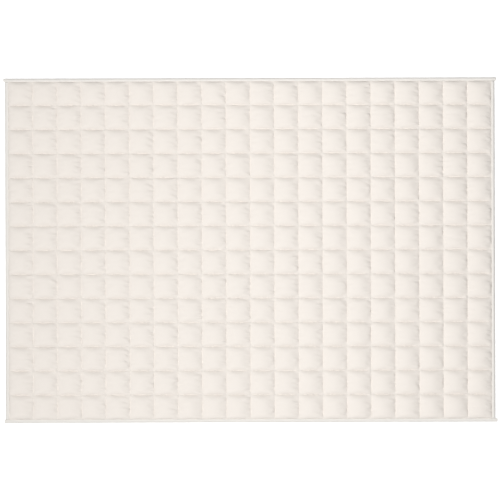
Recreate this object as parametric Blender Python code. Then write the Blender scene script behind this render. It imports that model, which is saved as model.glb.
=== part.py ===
"""Weighted blanket: a quilted, filled panel whose four edges are clasped in folded cloth strips.

It lies flat on the XY plane. +X runs along its length, +Y across its width and +Z up, and the origin is under
the middle of its footprint. All sizes are in metres.
"""

import math

import bmesh
import bpy
from mathutils import Matrix

# The finished blanket, over the outer edges of its strips.
LENGTH = 2.000
WIDTH = 1.407

# The sewn squares. The outer ones end at the strips, so they differ from the others by a millimetre or two.
COLUMNS = 20
ROWS = 14
SQUARE = 0.0986
FIRST_SEAM_FROM_LEFT = 0.1130
FIRST_SEAM_FROM_NEAR = 0.1131

# The cloth and its filling.
GAP = 0.0003
STRIP_CLOTH = 0.0010
SEAM_THICKNESS = 0.0026
CROWN = 0.0143
CROWN_UNEVENNESS = 0.06
# How full a square's sides are: the lower the power, the steeper it rises from its seams.
CROWN_POWER_ALONG = 0.9
CROWN_POWER_ACROSS = 0.4
# Where the grid lines of a square run, as shares of its side: closest to the seams, where it curves most.
SQUARE_LINES = (0.0, 0.16, 0.5, 0.84)
COPLANAR = math.radians(0.5)

# The folded strips. Rounded corners show only at the turned-in ends of the two long ones.
STRIP_WIDTH = 0.0135
FOLD_THICKNESS = 0.0025
FOLD_RADIUS = 0.0022
FOLD_SEGMENTS = 4
TAB_RADIUS = 0.003
TAB_SEGMENTS = 3

SEAM_BOTTOM = STRIP_CLOTH + GAP
SEAM_TOP = SEAM_BOTTOM + SEAM_THICKNESS
STRIP_HEIGHT = SEAM_TOP + GAP + STRIP_CLOTH
SHORT_OF_CORNER = -(STRIP_WIDTH + GAP)

# Each strip is made along the far edge and turned to its own edge. "start" and "end" say how far its -X and
# +X ends run past the blanket's corners. The long strips stand out there as tabs. The side strips stop short.
STRIPS = {
    "edge_binding_far": {"turn_deg": 0, "along": LENGTH, "across": WIDTH, "start": 0.007, "end": 0.006},
    "edge_binding_near": {"turn_deg": 180, "along": LENGTH, "across": WIDTH, "start": 0.008, "end": 0.005},
    "edge_binding_left": {
        "turn_deg": 90, "along": WIDTH, "across": LENGTH, "start": SHORT_OF_CORNER, "end": SHORT_OF_CORNER,
    },
    "edge_binding_right": {
        "turn_deg": -90, "along": WIDTH, "across": LENGTH, "start": SHORT_OF_CORNER, "end": SHORT_OF_CORNER,
    },
}

COVER_COLOUR = (0.78, 0.73, 0.68)
STRIP_COLOUR = (0.76, 0.74, 0.70)
FABRIC_ROUGHNESS = 0.9
SHARP_EDGE = math.radians(50)


def clear_scene():
    for scene_object in list(bpy.data.objects):
        bpy.data.objects.remove(scene_object, do_unlink=True)


def new_collection(name):
    collection = bpy.data.collections.new(name)
    bpy.context.scene.collection.children.link(collection)
    return collection


def fabric(name, colour):
    material = bpy.data.materials.new(name)
    material.use_nodes = True
    shader = material.node_tree.nodes["Principled BSDF"]
    shader.inputs["Base Color"].default_value = (*colour, 1.0)
    shader.inputs["Roughness"].default_value = FABRIC_ROUGHNESS
    shader.inputs["Metallic"].default_value = 0.0
    return material


def add_object(name, shape, collection):
    """Puts a finished bmesh in the scene as a named object."""
    mesh = bpy.data.meshes.new(name)
    shape.to_mesh(mesh)
    shape.free()
    mesh.shade_smooth()
    mesh.set_sharp_from_angle(angle=SHARP_EDGE)
    scene_object = bpy.data.objects.new(name, mesh)
    collection.objects.link(scene_object)
    return scene_object


# The quilted panel.


def grid_lines(edge, first_seam, squares):
    """The places of all grid lines across the squares, which run from -edge to edge."""
    seams = [-edge] + [first_seam + SQUARE * i for i in range(squares - 1)] + [edge]
    lines = [
        start + share * (end - start)
        for start, end in zip(seams, seams[1:])
        for share in SQUARE_LINES
    ]
    return lines + [edge]


def crown_share(line, power):
    """How high a square stands at a grid line, from 0 at its seam to 1 in its middle."""
    share = SQUARE_LINES[line % len(SQUARE_LINES)]
    return (4.0 * share * (1.0 - share)) ** power


def filling(column, row):
    """The squares hold slightly different amounts of filling, so neighbours don't stand equally high."""
    return 1.0 + CROWN_UNEVENNESS * math.sin(2.3 * column + 1.7 * row) * math.cos(0.9 * column - 2.9 * row)


def moved_out(place, edge, distance):
    """A rim vertex moves out from the edge it is on. One that is not on that edge keeps its place."""
    return math.copysign(edge + distance, place) if abs(place) >= edge - GAP else place


def build_panel(collection):
    """Crowned squares above, a flat underside, and round them a thin flange for the strips to clasp."""
    edge_x = LENGTH / 2 - STRIP_WIDTH - GAP
    edge_y = WIDTH / 2 - STRIP_WIDTH - GAP
    lines_x = grid_lines(edge_x, FIRST_SEAM_FROM_LEFT - LENGTH / 2, COLUMNS)
    lines_y = grid_lines(edge_y, FIRST_SEAM_FROM_NEAR - WIDTH / 2, ROWS)
    steps_x = len(lines_x) - 1
    steps_y = len(lines_y) - 1

    panel = bmesh.new()
    bmesh.ops.create_grid(panel, x_segments=steps_x, y_segments=steps_y, size=0.5)
    for vertex in panel.verts:
        line_x = round((vertex.co.x + 0.5) * steps_x)
        line_y = round((vertex.co.y + 0.5) * steps_y)
        full = filling(line_x // len(SQUARE_LINES), line_y // len(SQUARE_LINES))
        shape = crown_share(line_x, CROWN_POWER_ALONG) * crown_share(line_y, CROWN_POWER_ACROSS)
        vertex.co = (lines_x[line_x], lines_y[line_y], SEAM_TOP + CROWN * full * shape)

    # The rim goes out along the flange's top, down its edge, back in under it, and down to the ground.
    flange = STRIP_WIDTH - FOLD_THICKNESS
    rim_path = (
        {"out": flange, "height": SEAM_TOP},
        {"out": flange, "height": SEAM_BOTTOM},
        {"out": 0.0, "height": SEAM_BOTTOM},
        {"out": 0.0, "height": 0.0},
    )
    rim = [edge for edge in panel.edges if edge.is_boundary]
    for step in rim_path:
        made = bmesh.ops.extrude_edge_only(panel, edges=rim)["geom"]
        rim = [item for item in made if isinstance(item, bmesh.types.BMEdge) and item.is_boundary]
        for vertex in {vertex for edge in rim for vertex in edge.verts}:
            vertex.co.x = moved_out(vertex.co.x, edge_x, step["out"])
            vertex.co.y = moved_out(vertex.co.y, edge_y, step["out"])
            vertex.co.z = step["height"]
    bmesh.ops.contextual_create(panel, geom=rim)

    bmesh.ops.dissolve_limit(panel, angle_limit=COPLANAR, verts=panel.verts, edges=panel.edges)
    bmesh.ops.recalc_face_normals(panel, faces=panel.faces)
    return add_object("quilted_panel", panel, collection)


# The strips folded round the edges.


def box(low, high):
    """A box between two corners."""
    shape = bmesh.new()
    bmesh.ops.create_cube(shape, size=1.0)
    sides = [b - a for a, b in zip(low, high)]
    centre = [(a + b) / 2 for a, b in zip(low, high)]
    placed = Matrix.Translation(centre) @ Matrix.Diagonal((*sides, 1.0))
    bmesh.ops.transform(shape, matrix=placed, verts=shape.verts)
    return shape


def lies_along(edge, axis):
    return abs((edge.verts[1].co - edge.verts[0].co).normalized()[axis]) > 0.99


def round_edges(shape, edges, radius, segments):
    bmesh.ops.bevel(shape, geom=edges, offset=radius, segments=segments, profile=0.5, affect="EDGES")


def build_strip(name, row, slot, collection):
    """One folded strip: a bar with its fold rounded, and a slot in its inner side where the panel goes in."""
    outer = row["across"] / 2
    low = (-row["along"] / 2 - row["start"], outer - STRIP_WIDTH, 0.0)
    high = (row["along"] / 2 + row["end"], outer, STRIP_HEIGHT)
    strip = box(low, high)
    if row["start"] > 0:
        round_edges(strip, [edge for edge in strip.edges if lies_along(edge, 2)], TAB_RADIUS, TAB_SEGMENTS)
    fold = [edge for edge in strip.edges if lies_along(edge, 0) and edge.verts[0].co.y > outer - GAP]
    round_edges(strip, fold, FOLD_RADIUS, FOLD_SEGMENTS)

    scene_object = add_object(name, strip, collection)
    scene_object.rotation_euler.z = math.radians(row["turn_deg"])
    cut = scene_object.modifiers.new("slot", "BOOLEAN")
    cut.operation = "DIFFERENCE"
    cut.solver = "EXACT"
    cut.object = slot
    return scene_object


def build_slot(collection):
    """The room inside all four folds: a slab that is a gap larger than the panel's flange."""
    reach_x = LENGTH / 2 - FOLD_THICKNESS
    reach_y = WIDTH / 2 - FOLD_THICKNESS
    slab = box((-reach_x, -reach_y, STRIP_CLOTH), (reach_x, reach_y, STRIP_HEIGHT - STRIP_CLOTH))
    slot = add_object("slot", slab, collection)
    slot.hide_render = True
    slot.display_type = "WIRE"
    return slot


def main():
    clear_scene()
    blanket = new_collection("weighted_blanket")
    slot = build_slot(new_collection("cutters"))
    panel = build_panel(blanket)
    panel.data.materials.append(fabric("cover_cloth", COVER_COLOUR))
    for name, row in STRIPS.items():
        strip = build_strip(name, row, slot, blanket)
        strip.data.materials.append(fabric(f"{name}_cloth", STRIP_COLOUR))


main()
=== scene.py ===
# %% [markdown]
# # A quilted weighted blanket
#
# The blanket is two large cloths with wadding and beads between them. They are sewn together through the
# filling, in 20 columns and 14 rows of squares, and the raw edges are clasped in folded strips.
#
# This lesson makes it in Blender, in the frame of a CAD model that already has the right sizes: first the
# quilt with a cloth simulation, then the strips, the threads and the finishes, and last the light and the
# camera.

import bmesh
import bpy
import numpy as np
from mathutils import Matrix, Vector


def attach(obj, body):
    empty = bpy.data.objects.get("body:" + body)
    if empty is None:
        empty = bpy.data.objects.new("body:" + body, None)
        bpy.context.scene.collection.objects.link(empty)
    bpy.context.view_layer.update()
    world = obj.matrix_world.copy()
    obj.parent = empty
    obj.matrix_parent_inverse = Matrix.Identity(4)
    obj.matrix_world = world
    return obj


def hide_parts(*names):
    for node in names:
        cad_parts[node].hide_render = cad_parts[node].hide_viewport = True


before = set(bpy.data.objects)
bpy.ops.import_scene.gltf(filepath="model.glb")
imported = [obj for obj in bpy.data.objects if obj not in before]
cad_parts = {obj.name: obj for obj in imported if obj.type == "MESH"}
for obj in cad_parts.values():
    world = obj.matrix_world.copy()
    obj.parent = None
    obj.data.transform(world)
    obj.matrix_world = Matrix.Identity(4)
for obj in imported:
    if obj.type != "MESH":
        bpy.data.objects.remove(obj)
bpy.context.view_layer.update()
print("CAD nodes:", sorted(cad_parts))

# %% [markdown]
# ## The sewing plan
#
# Every size is in metres. The lengthwise seams run along X and the crosswise ones along Y, one square apart.
# The outer squares end at the strips, so they are up to two millimetres larger or smaller than the others.
#
# The quilt is made as a grid of points. A seam bends the cloth more sharply than the middle of a square
# does, so the grid lines stand closer together at the seams.

# %% Grid lines across the squares
LENGTH = 2.000
WIDTH = 1.407
COLUMNS = 20
ROWS = 14
SQUARE = 0.0986
STRIP_WIDTH = 0.0135
GAP = 0.0003

# The places of the first seams. The middle lengthwise seam is a little nearer to the far edge.
ROWS_OFF_CENTRE = 0.0012
FIRST_SEAM = -0.887
FIRST_ROW_SEAM = ROWS_OFF_CENTRE - SQUARE * (ROWS - 2) / 2

# Steps of the grid in one square, and how strongly they crowd towards the seams.
STEPS = 18
CROWDING = 0.30

# Less than any real distance, in metres.
TINY = 1e-6


def sewing_lines(edge, first_seam, squares):
    """The places of all grid lines from -edge to edge, and how far across its square each is, from 0 to 1."""
    seams = [-edge] + [first_seam + SQUARE * i for i in range(squares - 1)] + [edge]
    even = np.arange(STEPS) / STEPS
    share = even - CROWDING * np.sin(2 * np.pi * even) / (2 * np.pi)
    places = [start + share * (end - start) for start, end in zip(seams, seams[1:])]
    return np.append(np.concatenate(places), edge), np.append(np.tile(share, squares), 1.0)


# The strips are sewn on a strip's width inside the edges, and there the outer squares end.
inner_x = LENGTH / 2 - STRIP_WIDTH - GAP
inner_y = WIDTH / 2 - STRIP_WIDTH - GAP
lines_x, share_x = sewing_lines(inner_x, FIRST_SEAM, COLUMNS)
lines_y, share_y = sewing_lines(inner_y, FIRST_ROW_SEAM, ROWS)
X, Y = np.meshgrid(lines_x, lines_y)
U, V = np.meshgrid(share_x, share_y)
to_crosswise = np.minimum(U, 1 - U) * SQUARE
to_lengthwise = np.minimum(V, 1 - V) * SQUARE
on_seam = (to_crosswise < TINY) | (to_lengthwise < TINY)
closest = float(np.diff(lines_x).min()) * 1000
print("grid of", X.shape, "points,", round(closest, 1), "mm apart at the seams")

# %% [markdown]
# ## Uneven cloth
#
# No real square is the same as its neighbour. A sum of sine waves with random lengths and phases makes a
# smooth, uneven field, and the seed makes it the same field each time. It is used for ripples, puckers and
# wandering seams.

# %% A field of random ripples
chance = np.random.default_rng(11)


def ripples(along, across, wavelength, drift=(0.08, 0.30), waves=60):
    """Waves that follow each other one way and drift slowly sideways. Their average is 0, their spread 1."""
    field = np.zeros_like(along)
    for _ in range(waves):
        main = 2 * np.pi / chance.uniform(0.7 * wavelength, 1.6 * wavelength)
        side = 2 * np.pi / chance.uniform(*drift) * chance.choice([-1, 1])
        field += np.sin(main * along + side * across + chance.uniform(0, 2 * np.pi))
    return field / field.std()


# %% The unswollen cloth
START_CROWN = 0.002
PUCKER_SPACING = 0.023
PUCKER_REACH = 0.020
PUCKERS_ACROSS = 0.0010
PUCKERS_ALONG = 0.0004
BILLOW_SPACING = 0.06
BILLOWS = 0.0005

crown = np.sqrt(np.clip(16 * U * (1 - U) * V * (1 - V), 0, 1))
near_crosswise = np.exp(-to_crosswise / PUCKER_REACH) * ~on_seam
near_lengthwise = np.exp(-to_lengthwise / PUCKER_REACH) * ~on_seam
start_height = START_CROWN * crown
start_height += PUCKERS_ACROSS * ripples(Y, X, PUCKER_SPACING) * near_crosswise
start_height += PUCKERS_ALONG * ripples(X, Y, PUCKER_SPACING) * near_lengthwise
start_height += BILLOWS * ripples(Y, X, BILLOW_SPACING) * crown
print("the unswollen cloth is uneven by", round(float(start_height.std()) * 1000, 2), "mm")

# %% [markdown]
# ## Swelling the squares with a cloth simulation
#
# The shape of a filled square could be a formula, but then every square looks moulded. Here the top cloth is
# really simulated. It is cut larger than the finished quilt, 1.2 % along and 4 % across, as a maker eases
# cloth in when sewing over filling. In the first frames the seams draw in to their sewn places, the spare
# cloth gathers in puckers there, and pressure from the filling rounds the squares.
#
# The seams are pinned, and a keyed shape moves the pins. Blender's cloth behaves best at a size of metres, so
# the simulation runs ten times enlarged. Gravity is off, because the filling carries the cloth.

# %% The faces of a grid
def grid_faces(rows, columns):
    """The four corners of each face in a grid of points, as indices."""
    index = np.arange(rows * columns).reshape(rows, columns)
    corners = [index[:-1, :-1], index[:-1, 1:], index[1:, 1:], index[1:, :-1]]
    return np.stack(corners, axis=-1).reshape(-1, 4)


def flat_list(points):
    return np.ascontiguousarray(points, dtype=np.float32).ravel()


print("a square's top has", len(grid_faces(STEPS + 1, STEPS + 1)), "faces")

# %% The cloth simulation
ENLARGED = 10.0
LAST_FRAME = 20
DRAWN_IN_BY = 9


def set_cloth(swelling, pins):
    """Sets a Cloth modifier for thin, soft cotton that is blown up between its pinned seams."""
    settings = swelling.settings
    settings.quality = 5
    settings.mass = 0.3
    settings.air_damping = 1.0
    settings.tension_stiffness = 15
    settings.compression_stiffness = 15
    settings.shear_stiffness = 5
    settings.bending_stiffness = 0.5
    settings.tension_damping = 5
    settings.compression_damping = 5
    settings.shear_damping = 5
    settings.vertex_group_mass = pins.name
    settings.pin_stiffness = 1.0
    settings.use_pressure = True
    settings.uniform_pressure_force = 2.0
    settings.effector_weights.gravity = 0.0
    swelling.collision_settings.use_collision = False
    swelling.point_cache.frame_end = LAST_FRAME


def swollen(cut, sewn, pinned):
    """Simulates cloth that is cut to one grid of points and sewn down at the pinned points of another."""
    mesh = bpy.data.meshes.new("cut cloth")
    mesh.from_pydata((cut * ENLARGED).reshape(-1, 3).tolist(), [], grid_faces(*pinned.shape).tolist())
    cloth = bpy.data.objects.new("cut cloth", mesh)
    bpy.context.scene.collection.objects.link(cloth)
    cloth.shape_key_add(name="cut")
    key = cloth.shape_key_add(name="sewn")
    key.data.foreach_set("co", flat_list(sewn * ENLARGED))
    for value, at_frame in ((0.0, 1), (1.0, DRAWN_IN_BY)):
        key.value = value
        key.keyframe_insert("value", frame=at_frame)
    pins = cloth.vertex_groups.new(name="pins")
    pins.add(np.flatnonzero(pinned).tolist(), 1.0, "REPLACE")

    set_cloth(cloth.modifiers.new("swelling", "CLOTH"), pins)
    for at_frame in range(1, LAST_FRAME + 1):
        bpy.context.scene.frame_set(at_frame)
    done = cloth.evaluated_get(bpy.context.evaluated_depsgraph_get()).data
    points = np.zeros(cut.size, dtype=np.float32)
    done.vertices.foreach_get("co", points)
    bpy.context.scene.frame_set(1)
    bpy.data.objects.remove(cloth, do_unlink=True)
    bpy.data.meshes.remove(mesh)
    return points.reshape(cut.shape).astype(float) / ENLARGED


print("the cloth swells in", LAST_FRAME, "frames and is drawn in after", DRAWN_IN_BY)

# %% Swell the squares
SPARE_ALONG = 0.012
SPARE_ACROSS = 0.04
SEAM_WANDER = 0.0002
WANDER_SPACING = 0.11

cut = np.stack([X * (1 + SPARE_ALONG), Y * (1 + SPARE_ACROSS), start_height], axis=-1)
wander_x = SEAM_WANDER * ripples(Y, X, WANDER_SPACING, waves=20)
wander_y = SEAM_WANDER * ripples(X, Y, WANDER_SPACING, waves=20)
sewn = np.stack([X + wander_x, Y + wander_y, start_height], axis=-1)
top = swollen(cut, sewn, on_seam)
print("the squares swell to", round(float(top[..., 2].max()) * 1000, 1), "mm above the seams")

# %% [markdown]
# ## Pulled-down seams
#
# The simulation gives each square a shape of its own, but its grid is too coarse for the steep sides of a
# seam, and it lets the cloth beside a seam move more than tight stitches do. So the result is worked over.
#
# First each square is drawn closer to the mean square near its seams. Then the threads pull the cloth down in
# a narrow channel, and between the channels and its top the square gets broad shoulders. The lengthwise
# channels have a small fillet at their foot. The filling never quite reaches the corners of a square, so they
# are pressed down, the far right ones most.

# %% The mean square
# How firmly the seams hold a square to the mean one, from 0 to 1, and how far from the seam they do.
HELD_BY_LENGTHWISE = 0.97
LENGTHWISE_HOLD = 0.026
HELD_BY_CROSSWISE = 0.85
CROSSWISE_HOLD = 0.016


def close_to(distance, reach):
    """1 at a seam, and fading to 0 in a bell curve away from it."""
    return np.exp(-(distance / reach) ** 2)


flat = np.stack([X, Y, 0 * X], axis=-1)
moved = (top - flat)[:-1, :-1].reshape(ROWS, STEPS, COLUMNS, STEPS, 3).mean(axis=(0, 2))
usual = flat + np.pad(np.tile(moved, (ROWS, COLUMNS, 1)), ((0, 1), (0, 1), (0, 0)), mode="wrap")
held = HELD_BY_LENGTHWISE * close_to(to_lengthwise, LENGTHWISE_HOLD)
held = np.maximum(held, HELD_BY_CROSSWISE * close_to(to_crosswise, CROSSWISE_HOLD))
print("the squares differ by", round(float((top - usual)[..., 2].std()) * 1000, 2), "mm from the mean one")
top = usual + (top - usual) * (1 - held)[..., None]

# %% Channels, shoulders and corners
# The simulation swells the squares more than wadding would, so its heights are scaled down.
SWELL = 0.62
CHANNEL_DEPTH = 0.0050
CHANNEL_WIDTH = 0.0080
# The higher it is, the more sharply a channel turns at a crossing.
CHANNEL_SHARPNESS = 3.0
SHOULDER_DEPTH = 0.0040
SHOULDER_ALONG = 0.017
SHOULDER_ACROSS = 0.030
FILLET = 0.16
FILLET_WIDTH = 0.008
CORNER_RADIUS = 0.019
FAR_RIGHT_PRESS = 0.36
NEAR_RIGHT_PRESS = 0.216
LEFT_PRESS = 0.072


def away_from(distance, reach):
    """0 at a seam, and rising to 1 away from it."""
    return 1 - np.exp(-distance / reach)


right_half = U > 0.5
far_half = V > 0.5
distances = [np.maximum(distance, TINY) for distance in (to_crosswise, to_lengthwise)]
nearest = sum(distance ** -CHANNEL_SHARPNESS for distance in distances) ** (-1 / CHANNEL_SHARPNESS)
height = SWELL * top[..., 2] + CHANNEL_DEPTH * away_from(nearest, CHANNEL_WIDTH)
pressed = close_to(to_lengthwise, SHOULDER_ALONG)
pressed = pressed + close_to(to_crosswise, SHOULDER_ACROSS) * (1 - pressed)
height += SHOULDER_DEPTH * (1 - pressed)
height *= 1 - FILLET * np.exp(-to_lengthwise / FILLET_WIDTH)
corner_press = np.where(right_half, np.where(far_half, FAR_RIGHT_PRESS, NEAR_RIGHT_PRESS), LEFT_PRESS)
height *= 1 - corner_press * close_to(np.hypot(to_crosswise, to_lengthwise), CORNER_RADIUS)
print("the highest point of a square is", round(float(height.max()) * 1000, 1), "mm above the seams")

# %% [markdown]
# ## Puckers
#
# The needle pushes the cloth ahead of itself. It lies in small puckers that end in the crosswise seams, most
# of them on the seam's left, which is the right half of a square. There the edge of the square also stands a
# little prouder, and so does the left part of its far edge. At last the threads rise and fall a little.

# %% Puckers and lifted edges
PUCKER_HEIGHT = 0.0006
STREAK_SPACING = 0.018
PUCKERS_ON_THE_LEFT = 0.3
FAR_EDGE_LIFT = 0.0003
FAR_EDGE_LENGTH = 0.040
RIGHT_EDGE_LIFT = 0.0004
THREAD_LIFT = 0.0003
THREAD_LIFT_SPACING = 0.03
# The outermost points lie under the strips' inner edges, and stay level.
LEVEL_MARGIN = 0.001


def hump(distance, peak):
    """0 at a seam, 1 at the peak, and fading away beyond it."""
    return distance / peak * np.exp(1 - distance / peak)


left_part = close_to(U * SQUARE, FAR_EDGE_LENGTH) * away_from(to_crosswise, 0.004) * far_half
height += FAR_EDGE_LIFT * hump(to_lengthwise, peak=0.008) * left_part
right_part = right_half * away_from(to_lengthwise, 0.010)
height += RIGHT_EDGE_LIFT * hump(to_crosswise, peak=0.012) * right_part
fullness = np.where(right_half, 1.0, PUCKERS_ON_THE_LEFT) * crown ** 0.5
height += PUCKER_HEIGHT * ripples(Y, X, STREAK_SPACING) * hump(to_crosswise, peak=0.009) * fullness
inside = (np.abs(X) < inner_x - LEVEL_MARGIN) & (np.abs(Y) < inner_y - LEVEL_MARGIN)
lift = THREAD_LIFT * ripples(Y, X, THREAD_LIFT_SPACING) * np.exp(-nearest / 0.006)
height += lift * inside * (1 - held)
top[..., 2] = height
print("with its puckers a square is up to", round(float(height.max()) * 1000, 1), "mm high above the seams")

# %% [markdown]
# ## Closing the quilt
#
# Under the strips the quilt runs on as a thin edge, and below it lies flat on its squares, with the seams a
# little clear of the ground. The underside doesn't show, so it has only three steps a square. All of it is
# one closed mesh: the top, the edge in rings that follow the rim of the top, and the underside.

# %% Pieces and rims
def add_piece(name, points, faces):
    """A new mesh object from arrays, smooth, with its normals facing out."""
    shape = bmesh.new()
    mesh = bpy.data.meshes.new(name)
    mesh.from_pydata(np.asarray(points).tolist(), [], faces)
    shape.from_mesh(mesh)
    bmesh.ops.recalc_face_normals(shape, faces=shape.faces)
    shape.to_mesh(mesh)
    shape.free()
    mesh.shade_smooth()
    piece = bpy.data.objects.new(name, mesh)
    bpy.context.scene.collection.objects.link(piece)
    return piece


def rim_of(rows, columns):
    """The indices round the outside of a grid of points, counter-clockwise."""
    index = np.arange(rows * columns).reshape(rows, columns)
    return np.concatenate([index[0, :-1], index[:-1, -1], index[-1, :0:-1], index[:0:-1, 0]])


print("the rim of the top has", len(rim_of(*X.shape)), "points")

# %% The underside
SEAM_TOP = 0.0039
SEAM_BOTTOM = 0.0013
# Of the grid lines in a square, the underside keeps only these.
UNDERSIDE_LINES = (0, 3, 15)


def add_underside(points, faces, rim, rows, columns):
    """Coarse faces under the squares, joined to every point of the last rim."""
    place = {int(a): int(b) for a, b in zip(rim_of(rows, columns), rim)}
    first_inner = len(points)
    kept_rows = [r for r in range(rows) if r % STEPS in UNDERSIDE_LINES]
    kept_columns = [c for c in range(columns) if c % STEPS in UNDERSIDE_LINES]

    def at(r, c):
        index = r * columns + c
        if index not in place:
            place[index] = len(points)
            seam = r % STEPS == 0 or c % STEPS == 0
            points.append((lines_x[c], lines_y[r], SEAM_BOTTOM if seam else 0.0))
        return place[index]

    def side(fixed, start, end, edges, by_row):
        """The points of a face from one corner to the next: on the rim all of them, else only the corner."""
        step = 1 if end > start else -1
        stops = range(start, end, step) if fixed in edges else [start]
        return [at(s, fixed) if by_row else at(fixed, s) for s in stops]

    for low, high in zip(kept_rows, kept_rows[1:]):
        for left, right in zip(kept_columns, kept_columns[1:]):
            face = side(low, left, right, (0, rows - 1), False)
            face += side(right, low, high, (0, columns - 1), True)
            face += side(high, right, left, (0, rows - 1), False)
            face += side(left, high, low, (0, columns - 1), True)
            if len(face) == 4:
                faces.append(face)
                continue
            # A face on the rim has many points in a line, so it is a fan of triangles from an inner corner.
            hub = next(k for k, point in enumerate(face) if point >= first_inner)
            fan = face[hub + 1:] + face[:hub]
            faces += [[face[hub], a, b] for a, b in zip(fan, fan[1:])]


print("the seams are", SEAM_BOTTOM * 1000, "mm clear of the ground")

# %% Build the quilt
# The edge inside a strip: how far out from the outer squares, and how high.
EDGE_PATH = (
    (0.0030, 0.0038),
    (0.0085, 0.0035),
    (0.0103, 0.0024),
    (0.0085, 0.0013),
    (0.0, SEAM_BOTTOM),
)


def build_quilt():
    rows, columns = X.shape
    points = (top + np.array([0, 0, SEAM_TOP])).reshape(-1, 3).tolist()
    faces = grid_faces(rows, columns).tolist()
    rim = rim_of(rows, columns)
    for out, height in EDGE_PATH:
        start = len(points)
        for index in rim_of(rows, columns):
            r, c = divmod(int(index), columns)
            x = lines_x[c] + out * ((c == columns - 1) - (c == 0))
            y = lines_y[r] + out * ((r == rows - 1) - (r == 0))
            points.append((x, y, height))
        new_rim = np.arange(start, len(points))
        sides = [rim, new_rim, np.roll(new_rim, -1), np.roll(rim, -1)]
        faces += np.stack(sides, axis=-1).tolist()
        rim = new_rim
    add_underside(points, faces, rim, rows, columns)
    return add_piece("quilt", points, faces)


quilt = build_quilt()
triangles = sum(len(face.vertices) - 2 for face in quilt.data.polygons)
print("quilt:", len(quilt.data.vertices), "points,", triangles, "triangles")

# %% [markdown]
# A seam is a crease, so the grid edges along it are marked sharp. Named attributes keep how far each point is
# from its seams, and in which half of its square it lies. The finish reads them later, to put wrinkles and
# painted shade near the threads.

# %% Mark the seams
def add_attribute(piece, name, domain, values, kind="FLOAT"):
    attribute = piece.data.attributes.new(name, kind, domain)
    attribute.data.foreach_set("value", values)


def mark_seams(piece, rows, columns):
    ends = np.zeros(len(piece.data.edges) * 2, dtype=np.int32)
    piece.data.edges.foreach_get("vertices", ends)
    (row_a, column_a), (row_b, column_b) = (np.divmod(end, columns) for end in ends.reshape(-1, 2).T)
    along_x = (row_a == row_b) & (row_a % STEPS == 0)
    along_y = (column_a == column_b) & (column_a % STEPS == 0)
    on_top = (row_a < rows) & (row_b < rows)
    add_attribute(piece, "sharp_edge", "EDGE", (along_x | along_y) & on_top, "BOOLEAN")
    spare = len(piece.data.vertices) - rows * columns
    on_points = {
        "to_crosswise": to_crosswise,
        "to_lengthwise": to_lengthwise,
        "right_half": right_half,
        "near_half": V < 0.5,
    }
    for name, values in on_points.items():
        add_attribute(piece, name, "POINT", np.append(values.ravel(), np.zeros(spare)).astype(np.float32))
    print("sharp edges along the seams:", int(((along_x | along_y) & on_top).sum()))


mark_seams(quilt, *X.shape)
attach(quilt, "root")
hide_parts("quilted_panel")

# %% [markdown]
# ## The folded strips
#
# A strip of plain cloth is folded round each edge and sewn through. Wadding is caught in the fold, so it is a
# soft roll, highest in its middle. A sweep of one cross-section along the edge makes it: out over the top,
# round the fold and back underneath, and the same way back one cloth's thickness inside. The cloth eases and
# tightens between the stitches, so the roll's height and its inner edge waver.
#
# The two long strips run past the corners. There the ends are turned in, and the section flattens to a tab.

# %% The section of a strip
# From the inner edge of the top, out and round to that of the underside: distance in from the fold, height.
OUTER_SIDE = (
    (0.0135, 0.0049), (0.0128, 0.0049), (0.0118, 0.0049), (0.0105, 0.0053), (0.0085, 0.0058),
    (0.0065, 0.0056), (0.0045, 0.0050), (0.0027, 0.0041), (0.0011, 0.0030), (0.0000, 0.0018),
    (0.0006, 0.0008), (0.0020, 0.0002), (0.0040, 0.0000), (0.0090, 0.0000), (0.0135, 0.0000),
)
# The same way back, inside the fold.
INNER_SIDE = (
    (0.0135, 0.0010), (0.0090, 0.0010), (0.0042, 0.0010), (0.0024, 0.0012), (0.0012, 0.0019),
    (0.0020, 0.0027), (0.0034, 0.0035), (0.0050, 0.0042), (0.0068, 0.0047), (0.0085, 0.0049),
    (0.0105, 0.0044), (0.0118, 0.0041), (0.0128, 0.0041), (0.0135, 0.0041),
)

# %% The four strips
# Each strip is made along the far edge and turned to its own by quarter turns. "start" and "end" say how far
# its ends run past the blanket's corners.
SHORT = -(STRIP_WIDTH + GAP)
STRIPS = {
    "binding_far": {"node": "edge_binding_far", "turn": 0, "along": LENGTH, "across": WIDTH,
                    "start": 0.0070, "end": 0.0060},
    "binding_near": {"node": "edge_binding_near", "turn": 2, "along": LENGTH, "across": WIDTH,
                     "start": 0.0080, "end": 0.0050},
    "binding_left": {"node": "edge_binding_left", "turn": 1, "along": WIDTH, "across": LENGTH,
                     "start": SHORT, "end": SHORT},
    "binding_right": {"node": "edge_binding_right", "turn": 3, "along": WIDTH, "across": LENGTH,
                      "start": SHORT, "end": SHORT},
}
print("strips:", ", ".join(STRIPS))

# %% Uneven rolls and flat tabs
ROLL_WIDTH = 0.0122
ROLL_WAVER = 0.00030
ROLL_WAVER_SPACING = 0.022
EDGE_WAVER = 0.00025
EDGE_WAVER_SPACING = 0.030
# Only the part of a strip that lies further in than this wavers, fully so after the next few millimetres.
WAVER_FROM = 0.0085
WAVER_OVER = 0.005

# A tab begins to flatten this far inside the corner, and is flat a little later.
TAB_FROM = 0.002
TAB_OVER = 0.004
TAB_MIDDLE = SEAM_TOP * 0.6
# The shares of the height that a tab loses, that its inside keeps, and that is left at its very end.
TAB_FLATTENED = 0.25
INSIDE_KEPT = 0.12
END_HEIGHT = 0.35
END_RADIUS = 0.0024
END_DRAWN_IN = 0.0026


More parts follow.
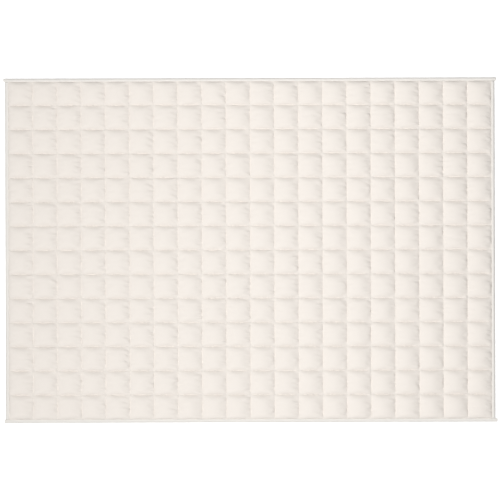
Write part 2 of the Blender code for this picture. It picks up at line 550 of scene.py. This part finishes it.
def wavered(place, inward, height):
    """Makes the roll's height and the strip's inner edge uneven."""
    roll = np.clip(np.sin(np.pi * np.clip(inward / ROLL_WIDTH, 0, 1)), 0, 1) * (height > SEAM_TOP)
    height = height + ROLL_WAVER * ripples(place, 0 * place, ROLL_WAVER_SPACING) * roll
    edge = EDGE_WAVER * ripples(place, 0 * place, EDGE_WAVER_SPACING)
    return inward + edge * np.clip((inward - WAVER_FROM) / WAVER_OVER, 0, 1), height


def tabbed(place, inward, height, low, high, corner):
    """Flattens the section beyond the corners, and rounds off the last millimetres of the tabs."""
    flat = np.clip(np.maximum(np.abs(place) - corner + TAB_FROM, 0) / TAB_OVER, 0, 1)
    left = np.clip(np.minimum(place - low, high - place) / END_RADIUS, 0, 1)
    rounding = np.sqrt(np.clip(1 - (1 - left) ** 2, 0, 1))
    kept = np.where(np.arange(place.shape[1]) < len(OUTER_SIDE), 1.0, INSIDE_KEPT)
    full = (height - TAB_MIDDLE) * (1 - TAB_FLATTENED * flat) * (1 - flat * (1 - kept))
    height = TAB_MIDDLE + full * (END_HEIGHT + (1 - END_HEIGHT) * rounding)
    # Seen from above, only the left tabs are rounded.
    rounded = (1 - rounding) * END_DRAWN_IN * (place < 0)
    return inward + rounded * np.clip(1 - inward / (STRIP_WIDTH / 2), -1, 1), height


print("a tab is flat from", (TAB_OVER - TAB_FROM) * 1000, "mm beyond the corner")

# %% Sweep the strips
RING_STEP = 0.006
# Extra rings close to the ends of the tabs, which are round.
END_RINGS = np.array([0.0003, 0.0010, 0.0022, 0.0038])


def quarter_turned(points, turns):
    """Turns points about the vertical axis by a number of quarter turns."""
    x, y, z = np.moveaxis(np.asarray(points, dtype=float), -1, 0)
    for _ in range(turns):
        x, y = -y, x
    return np.stack([x, y, z], axis=-1)


def sweep_faces(rings, around):
    """The faces between the rings of a sweep, and those that close the cloth at its two ends."""
    index = np.arange(rings * around).reshape(rings, around)
    after = np.roll(index, -1, axis=1)
    faces = np.stack([index[:-1], index[1:], after[1:], after[:-1]], axis=-1).reshape(-1, 4).tolist()
    for ring in (0, rings - 1):
        for k in range(len(INNER_SIDE)):
            # The last face is a triangle: there both sides of the cloth share a point.
            corners = index[ring, [k, k + 1, around - 2 - k, around - 1 - k]]
            faces.append(list(dict.fromkeys(corners.tolist())))
    return faces


def build_strip(name, row):
    section = np.array(OUTER_SIDE + INNER_SIDE)
    low, high = -row["along"] / 2 - row["start"], row["along"] / 2 + row["end"]
    has_tabs = row["start"] > 0
    places = np.linspace(low, high, round((high - low) / RING_STEP) + 1)
    if has_tabs:
        places = np.concatenate([[low], low + END_RINGS, places[1:-1], high - END_RINGS[::-1], [high]])
    place, inward = np.meshgrid(places, section[:, 0], indexing="ij")
    height = np.broadcast_to(section[:, 1], place.shape)
    inward, height = wavered(place, inward, height)
    if has_tabs:
        inward, height = tabbed(place, inward, height, low, high, row["along"] / 2)

    points = np.stack([place, row["across"] / 2 - inward, np.maximum(height, 0)], axis=-1)
    strip = add_piece(name, quarter_turned(points, row["turn"]).reshape(-1, 3), sweep_faces(*place.shape))
    add_attribute(strip, "to_fold", "POINT", inward.ravel().astype(np.float32))
    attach(strip, "root")
    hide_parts(row["node"])
    float(high - low)
    print(name, "is", round(float(high - low), 3), "m long")
    return strip


strips = [build_strip(name, row) for name, row in STRIPS.items()]

# %% [markdown]
# ## The threads
#
# A lockstitch shows as a row of short threads, each dipping into the cloth at both ends. There are thousands,
# so they aren't objects of their own. One small spindle is repeated along the seams with arrays, and the
# stitches of one direction are joined into one mesh.

# %% One stitch, repeated
STITCH = 0.0040
THREAD_RADIUS = 0.00040
# A spindle has two rings and two tips. They lie this share of a stitch from its middle, and the tips dip.
RING_REACH = 0.25
TIP_REACH = 0.43
TIP_DIP = 1.2 * THREAD_RADIUS


def spots_along(run):
    """The middle of each stitch along a run of points, and the way that the seam goes there."""
    walked = np.append(0, np.cumsum(np.linalg.norm(np.diff(run, axis=0), axis=1)))
    stops = np.arange(STITCH / 2, walked[-1], STITCH)

    def at(distance):
        return np.stack([np.interp(distance, walked, run[:, axis]) for axis in range(3)], axis=-1)

    way = at(stops + STITCH / 4) - at(stops - STITCH / 4)
    return at(stops), way / np.linalg.norm(way, axis=1, keepdims=True)


def spindles(centre, way):
    """The points and faces of a spindle at each centre: two tips, and two rings of four points."""
    up = np.broadcast_to([0.0, 0.0, 1.0], way.shape)
    sideways = np.cross(up, way)
    points = [centre + end * TIP_REACH * STITCH * way - TIP_DIP * up for end in (-1, 1)]
    for end in (-1, 1):
        for angle in np.radians([0, 90, 180, 270]):
            offset = THREAD_RADIUS * (np.cos(angle) * sideways + np.sin(angle) * up)
            points.append(centre + end * RING_REACH * STITCH * way + offset)
    faces = []
    for k in range(4):
        after = (k + 1) % 4
        faces += [(0, 2 + after, 2 + k), (1, 6 + k, 6 + after)]
        faces += [(2 + k, 2 + after, 6 + after), (2 + k, 6 + after, 6 + k)]
    starts = np.arange(len(centre))[:, None, None] * len(points)
    return np.stack(points, axis=1).reshape(-1, 3), (np.array(faces)[None] + starts).reshape(-1, 3)


print("a stitch is", STITCH * 1000, "mm long and its thread", THREAD_RADIUS * 2000, "mm thick")

# %% Sew the seams
# How far in from the edge the strips are sewn on, and how high the threads lie there and on the cloth.
SEWN_IN = 0.0121
ON_STRIP = 0.0050
ON_CLOTH = SEAM_TOP + 0.6 * THREAD_RADIUS


def stitched(name, runs):
    """One mesh with a spindle for each stitch along several runs of points."""
    centres, ways = zip(*[spots_along(run) for run in runs])
    points, faces = spindles(np.concatenate(centres), np.concatenate(ways))
    mesh = bpy.data.meshes.new(name)
    mesh.from_pydata(points.tolist(), [], faces.tolist())
    mesh.shade_smooth()
    threads = bpy.data.objects.new(name, mesh)
    bpy.context.scene.collection.objects.link(threads)
    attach(threads, "root")
    print(name, "has", sum(len(centre) for centre in centres), "stitches,", len(faces), "triangles")
    return threads


thread_line = top + np.array([0, 0, ON_CLOTH])
across_runs = [thread_line[:, c] for c in range(STEPS, X.shape[1] - 1, STEPS)]
along_runs = [thread_line[r, :] for r in range(STEPS, X.shape[0] - 1, STEPS)]
strip_x, strip_y = LENGTH / 2 - SEWN_IN, WIDTH / 2 - SEWN_IN
corners = np.array([(-1, -1), (1, -1), (1, 1), (-1, 1), (-1, -1)]) * (strip_x, strip_y)
edge_runs = [np.array([(*a, ON_STRIP), (*b, ON_STRIP)]) for a, b in zip(corners, corners[1:])]
threads = [
    stitched("stitches_across", across_runs),
    stitched("stitches_along", along_runs),
    stitched("stitches_strips", edge_runs),
]

# %% [markdown]
# ## Writing finishes as sums
#
# A finish is a tree of nodes. It reads better as arithmetic, so a small class wraps a socket: adding or
# multiplying two of them puts the Math node in the tree. Any other node comes from one method.

# %% A socket for sums
class Socket:
    """An output socket of a material's tree, for use in Python sums."""

    def __init__(self, tree, output):
        self.tree = tree
        self.output = output

    def node(self, kind, settings=None, inputs=None, output=0):
        """Adds any node: its settings are set first, then the values or links of its sockets."""
        made = self.tree.nodes.new(kind)
        for name, value in (settings or {}).items():
            setattr(made, name, value)
        for name, value in (inputs or {}).items():
            if isinstance(value, Socket):
                self.tree.links.new(value.output, made.inputs[name])
            else:
                made.inputs[name].default_value = value
        return Socket(self.tree, made.outputs[output])

    def _math(self, operation, first, second):
        return self.node("ShaderNodeMath", {"operation": operation}, {0: first, 1: second})

    def __add__(self, other):
        return self._math("ADD", self, other)

    def __sub__(self, other):
        return self._math("SUBTRACT", self, other)

    def __rsub__(self, other):
        return self._math("SUBTRACT", other, self)

    def __mul__(self, other):
        return self._math("MULTIPLY", self, other)

    def __truediv__(self, other):
        return self._math("DIVIDE", self, other)

    def __pow__(self, other):
        return self._math("POWER", self, other)

    __radd__ = __add__
    __rmul__ = __mul__

    def at_most(self, other):
        return self._math("MINIMUM", self, other)

    def at_least(self, other):
        return self._math("MAXIMUM", self, other)

    def wave(self):
        return self._math("SINE", self, 0.0)

    def fading(self, distance):
        """1 where this distance is 0, and less the further away it gets."""
        return self._math("EXPONENT", self * (-1.0 / distance), 0.0)

    def scaled(self, x, y, z):
        """A vector with its three parts scaled."""
        return self.node("ShaderNodeVectorMath", {"operation": "MULTIPLY"}, {0: self, 1: (x, y, z)})

    def part(self, axis):
        return self.node("ShaderNodeSeparateXYZ", inputs={0: self}, output=axis)

    def noise(self, scale, detail=2.0):
        """Soft random blots at this place, about 0.5 on average."""
        return self.node("ShaderNodeTexNoise", inputs={"Vector": self, "Scale": scale, "Detail": detail})

    def blend(self, colour_a, colour_b):
        """Colour a where this value is 0 and colour b where it is 1."""
        links = {0: self, 6: colour_a, 7: colour_b}
        return self.node("ShaderNodeMix", {"data_type": "RGBA"}, links, output=2)

    def bumped(self, distance, strength=1.0, under=None):
        """A normal that is tilted by this height, given in shares of the distance in metres."""
        links = {"Height": self, "Distance": distance, "Strength": strength}
        if under is not None:
            links["Normal"] = under
        return self.node("ShaderNodeBump", inputs=links)


print("sockets can be added, multiplied and blended")

# %% A new finish
TURN = 2 * np.pi
DULL = 0.2


def new_finish(name, roughness):
    """A matt material, the place on the object as a vector, and a function that links a socket to it."""
    material = bpy.data.materials.new(name)
    material.use_nodes = True
    tree = material.node_tree
    shader = tree.nodes["Principled BSDF"]
    shader.inputs["Roughness"].default_value = roughness
    shader.inputs["Specular IOR Level"].default_value = DULL
    place = Socket(tree, tree.nodes.new("ShaderNodeTexCoord").outputs["Object"])

    def linked(socket_name, value):
        tree.links.new(value.output, shader.inputs[socket_name])

    return material, place, linked


def woven(place, thread):
    """The height of a plain weave, from -1 to 1: two sets of threads that pass over each other."""
    return (place.part(0) * (TURN / thread)).wave() * (place.part(1) * (TURN / thread)).wave()


print("a finish starts with a specular level of", DULL)

# %% [markdown]
# ## The cream cloth
#
# It is a brushed cloth, so it is matt and a little fluffy, with a fine weave below the nap. Its tone drifts
# by a percent or two over the blanket. Shade is painted into its colour in the seams, most of all where they
# cross, and a little beyond each lengthwise seam, where its shade falls.
#
# The wrinkles between the puckers are finer than the mesh, so they are bump: noise that is drawn out away
# from the seam and fades with the distance from it.

# %% The colour of the quilt
CREAM = (0.785, 0.735, 0.684, 1)
CREAM_DEEP = (0.767, 0.718, 0.668, 1)
# The colour of the painted shade in the seams.
CREAM_SEAM_SHADE = (0.720, 0.674, 0.627, 1)
# How much painted shade there is in and beside the seams, from 0 to 1, and how far from the seam it reaches.
CROSSWISE_SHADE, CROSSWISE_SHADE_REACH = 0.50, 0.0035
LENGTHWISE_SHADE, LENGTHWISE_SHADE_REACH = 0.42, 0.0050
CROSSING_SHADE, CROSSING_SHADE_REACH = 0.45, 0.010
SHADE_BEHIND_SEAM, SHADE_BEHIND_REACH = 0.32, 0.0045


def cream_colour(place, crosswise, lengthwise, near_half):
    """The cloth's colour here, with painted shade by its distances to the crosswise and lengthwise seams."""
    colour = (place.noise(2.2, 3.0) * 0.7 + place.noise(260.0) * 0.3).blend(CREAM, CREAM_DEEP)
    # Painted shade: darker in the seams, darkest where they cross, and a little in the near half of each
    # square beside its lengthwise seam.
    shade_along_seam = lengthwise.fading(LENGTHWISE_SHADE_REACH) * LENGTHWISE_SHADE
    shade_in_seam = (crosswise.fading(CROSSWISE_SHADE_REACH) * CROSSWISE_SHADE).at_least(shade_along_seam)
    shade_in_crossing = crosswise.fading(CROSSING_SHADE_REACH) * lengthwise.fading(CROSSING_SHADE_REACH) * CROSSING_SHADE
    shade_behind_seam = near_half * lengthwise.fading(SHADE_BEHIND_REACH) * SHADE_BEHIND_SEAM
    return (shade_in_seam + shade_in_crossing + shade_behind_seam).blend(colour, CREAM_SEAM_SHADE)


print("the cloth is", round(1 - CREAM_SEAM_SHADE[1] / CREAM[1], 2), "deeper in tone where the seams are deepest")

# %% Wrinkles too fine for the mesh
# All heights are shares of this distance.
RELIEF = 0.0100
WRINKLE_REACH = 0.016
SEAM_EDGE = 0.010
ON_THE_LEFT = 0.35
DASH_SPACING = 0.024
DASH_LENGTH = 0.020
DASH_DEPTH = 0.14
TUCK_REACH = 0.006


def wrinkles(place, crosswise, lengthwise, right_half):
    """Broad wrinkles that run away from the seams, drawn out at right angles to them."""
    across = place.scaled(20.0, 50.0, 1.0).noise(1.0, 0.8) - 0.5
    along = place.scaled(50.0, 20.0, 1.0).noise(1.0, 0.8) - 0.5
    near_across = crosswise.fading(WRINKLE_REACH) * (1.0 - crosswise.fading(SEAM_EDGE)) * 1.4
    near_across = near_across * (ON_THE_LEFT + right_half * (1.0 - ON_THE_LEFT))
    near_along = lengthwise.fading(SEAM_EDGE) * (1.0 - lengthwise.fading(TUCK_REACH)) * 0.12
    return (across * near_across + along * near_along) * 1.6


def dashes(place, crosswise, lengthwise, right_half):
    """Narrow grooves that start at a crosswise seam, each of its own length."""
    drift = (place.scaled(11.0, 8.0, 1.0).noise(1.0, 1.0) - 0.5) * 16.0
    groove = ((place.part(1) * (TURN / DASH_SPACING) + drift).wave() * 0.5 + 0.5) ** 2.5
    length = DASH_LENGTH + place.scaled(9.0, 30.0, 1.0).noise(1.0, 1.0) * 0.016
    ending = (1.0 - crosswise / length).at_least(0.0) * (lengthwise * (1.0 / 0.012)).at_most(1.0)
    off_seam = 1.0 - crosswise.fading(SEAM_EDGE)
    return groove * ending * off_seam * (0.25 + right_half * 0.75) * 1.3


def tucks(place, crosswise, lengthwise):
    """The small uneven tucks right beside the threads."""
    uneven = place.scaled(75.0, 95.0, 1.0).noise(1.0, 1.0) - 0.5
    return uneven * (crosswise.fading(TUCK_REACH) * 0.07 + lengthwise.fading(TUCK_REACH) * 0.04) * 1.6


print("the grooves start", DASH_SPACING * 1000, "mm apart")

# %% Finish the quilt
NAP = 0.00025
NAP_STRENGTH = 0.6
NAP_THREAD = 0.0011


def finish_quilt():
    material, place, linked = new_finish("cream brushed cloth", 0.92)
    crosswise, lengthwise, right_half, near_half = (
        place.node("ShaderNodeAttribute", {"attribute_name": name}, output=2)
        for name in ("to_crosswise", "to_lengthwise", "right_half", "near_half")
    )
    linked("Base Color", cream_colour(place, crosswise, lengthwise, near_half))
    linked("Roughness", 0.88 + place.noise(300.0) * 0.08)

    relief = wrinkles(place, crosswise, lengthwise, right_half)
    relief = relief - dashes(place, crosswise, lengthwise, right_half) * DASH_DEPTH
    relief = relief + crosswise.fading(0.0025) * 0.04 + tucks(place, crosswise, lengthwise)
    nap = place.noise(700.0, 3.0) * 0.6 + woven(place, NAP_THREAD) * 0.2
    linked("Normal", nap.bumped(NAP, NAP_STRENGTH, relief.bumped(RELIEF)))
    quilt.data.materials.append(material)


finish_quilt()
print("finished the quilt")

# %% [markdown]
# ## The strips and the threads
#
# The strips are a plain tape, a little cooler and whiter than the cream cloth, with no nap. Shade is painted
# into their colour at the fold, where the tape turns under. The thread is smoother and has a slight shine,
# with the twist of its strands as a fine bump.

# %% Finish the strips and the threads
TAPE = (0.765, 0.738, 0.700, 1)
TAPE_DEEP = (0.743, 0.717, 0.679, 1)
# The painted shade at the fold, and how far in from the fold it reaches.
TAPE_FOLD_SHADE = (0.665, 0.642, 0.609, 1)
FOLD_SHADE_REACH = 0.0035
TAPE_THREAD = 0.0008
THREAD_COLOUR = (0.840, 0.800, 0.752, 1)
THREAD_DEEP = (0.780, 0.740, 0.690, 1)
TWIST = 0.0006


def finish_strips():
    material, place, linked = new_finish("off-white tape", 0.85)
    tone = place.noise(9.0, 3.0) * 0.6 + place.noise(420.0) * 0.4
    inward = place.node("ShaderNodeAttribute", {"attribute_name": "to_fold"}, output=2)
    # Painted shade: the tape's colour is darker near its fold.
    linked("Base Color", inward.fading(FOLD_SHADE_REACH).blend(tone.blend(TAPE, TAPE_DEEP), TAPE_FOLD_SHADE))
    linked("Roughness", 0.80 + place.noise(350.0) * 0.10)
    weave = woven(place, TAPE_THREAD) * 0.5 + place.noise(900.0) * 0.3
    folds = place.noise(48.0, 1.0).bumped(0.0015)
    linked("Normal", weave.bumped(0.0002, 0.6, folds))
    for strip in strips:
        strip.data.materials.append(material)


def finish_threads():
    material, place, linked = new_finish("cotton thread", 0.6)
    twist = ((place.part(0) + place.part(1)) * (TURN / TWIST)).wave()
    linked("Base Color", (twist * 0.5 + 0.5).blend(THREAD_COLOUR, THREAD_DEEP))
    linked("Roughness", 0.55 + place.noise(800.0) * 0.10)
    linked("Normal", twist.bumped(0.00008, 0.5))
    for thread in threads:
        thread.data.materials.append(material)


finish_strips()
finish_threads()
print("finished the strips and the threads")

# %% [markdown]
# ## Floor, light and camera
#
# The blanket lies on a plain white floor. A long soft lamp hangs above its middle, so the light falls off a
# little towards both ends. A broad light comes from the front left. It brightens the left and near sides of
# the squares and leaves the others in soft shade. The surroundings are dim overhead and pale at the horizon.

# %% Set the floor
FLOOR_SIDE = 60.0
FLOOR_BELOW = 0.0002
WHITE = (0.96, 0.96, 0.96, 1)
OFF_WHITE = (0.94, 0.94, 0.94, 1)
# The floor glows faintly, like a light table, so that the corners of the picture stay white too.
FLOOR_GLOW = 0.12


def add_floor():
    half = FLOOR_SIDE / 2
    corners = [(-half, -half, 0), (half, -half, 0), (half, half, 0), (-half, half, 0)]
    floor = add_piece("floor", corners, [[0, 1, 2, 3]])
    floor.location.z = -FLOOR_BELOW
    material, place, linked = new_finish("white floor", 0.9)
    linked("Base Color", place.noise(0.4).blend(WHITE, OFF_WHITE))
    shader = material.node_tree.nodes["Principled BSDF"]
    shader.inputs["Emission Color"].default_value = (1, 1, 1, 1)
    shader.inputs["Emission Strength"].default_value = FLOOR_GLOW
    floor.data.materials.append(material)


add_floor()
print("the floor is", FLOOR_SIDE, "m wide")

# %% Set the light
LAMP_SPOT = (0.02, 0, 5.0)
LAMP_SIDES = (1.0, 7.5)
LAMP_POWER = 180
LAMP_SPREAD = 2.44
FRONT_LEFT = (-2.5, -1.7, 4.0)
FRONT_LEFT_STRENGTH = 1.22
FRONT_LEFT_SOFTNESS = 0.42
OVERHEAD = 0.18
HORIZON = 0.85
# The band at the horizon ends where a ray rises by this much of its length.
BAND_TOP = 0.3125


def add_lamp(name, kind, spot, aim, energy, **settings):
    lamp = bpy.data.lights.new(name, kind)
    lamp.energy = energy
    for setting, value in settings.items():
        setattr(lamp, setting, value)
    holder = bpy.data.objects.new(name, lamp)
    holder.location = spot
    holder.rotation_euler = (Vector(spot) - Vector(aim)).to_track_quat("Z", "Y").to_euler()
    bpy.context.scene.collection.objects.link(holder)


def add_surroundings():
    """A pale band at the horizon, and an even, dimmer sky above it."""
    world = bpy.data.worlds.new("studio")
    world.use_nodes = True
    bpy.context.scene.world = world
    tree = world.node_tree
    way = Socket(tree, tree.nodes.new("ShaderNodeTexCoord").outputs["Generated"])
    band = (1.0 - way.part(2) * (1.0 / BAND_TOP)).at_least(0.0).at_most(1.0) ** 2.0
    strength = band * (HORIZON - OVERHEAD) + OVERHEAD
    tree.links.new(strength.output, tree.nodes["Background"].inputs["Strength"])


add_lamp("long lamp", "AREA", LAMP_SPOT, (LAMP_SPOT[0], 0, 0), LAMP_POWER,
         shape="RECTANGLE", size=LAMP_SIDES[0], size_y=LAMP_SIDES[1], spread=LAMP_SPREAD)
add_lamp("front left light", "SUN", FRONT_LEFT, (0, 0, 0), FRONT_LEFT_STRENGTH, angle=FRONT_LEFT_SOFTNESS)
add_surroundings()
bpy.context.scene.view_settings.view_transform = "Standard"

# %% [markdown]
# The camera looks straight down from six metres through a long lens, so the blanket shows almost without
# perspective. The blanket lies a hair out of square to the picture, which the camera's roll gives.

# %% Set the camera
# The picture is this many pixels wide, and one pixel shows this many metres of the blanket.
PICTURE = 500
PIXEL = 0.004085
CAMERA_HEIGHT = 6.0
SENSOR = 36.0
# The picture's middle, in pixels from the blanket's, and the camera's turn in radians.
MIDDLE = (-0.20, 0.15)
ROLL = -0.00288

lens = bpy.data.cameras.new("camera")
lens.sensor_width = SENSOR
lens.lens = SENSOR * (CAMERA_HEIGHT - SEAM_TOP) / (PICTURE * PIXEL)
camera = bpy.data.objects.new("camera", lens)
camera.location = (MIDDLE[0] * PIXEL, MIDDLE[1] * PIXEL, CAMERA_HEIGHT)
camera.rotation_euler = (0, 0, ROLL)
bpy.context.scene.collection.objects.link(camera)
bpy.context.scene.camera = camera
print("lens:", round(lens.lens, 1), "mm")

# %% Update the scene
bpy.context.view_layer.update()
